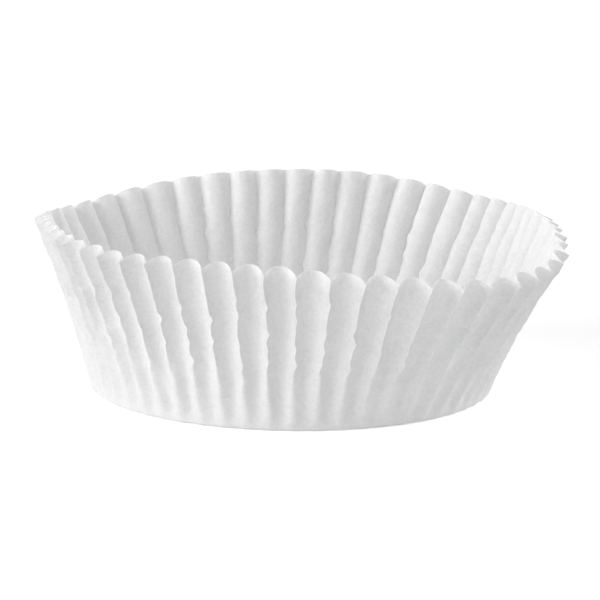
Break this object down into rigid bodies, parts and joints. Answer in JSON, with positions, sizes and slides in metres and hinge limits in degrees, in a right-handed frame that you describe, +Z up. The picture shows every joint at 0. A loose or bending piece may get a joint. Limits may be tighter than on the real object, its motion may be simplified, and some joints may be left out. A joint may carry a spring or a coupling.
{
  "type": "cupcake liner",
  "caption": "White paper baking cup for a cupcake: flat round base and a flared, fluted wall with an uneven scalloped rim, open at the top.",
  "frame": {"origin": "centre of the flat base, on the surface the cup stands on", "axes": "+Z up out of the cup's mouth; -Y is the near side, where the rim is lowest to the right; +X to the right"},
  "size_m": [0.101, 0.0968, 0.0344],
  "materials": {
    "paper": "matt uncoated greaseproof paper"
  },
  "bodies": {
    "root": {"liner": "paper"}
  },
  "joints": []
}
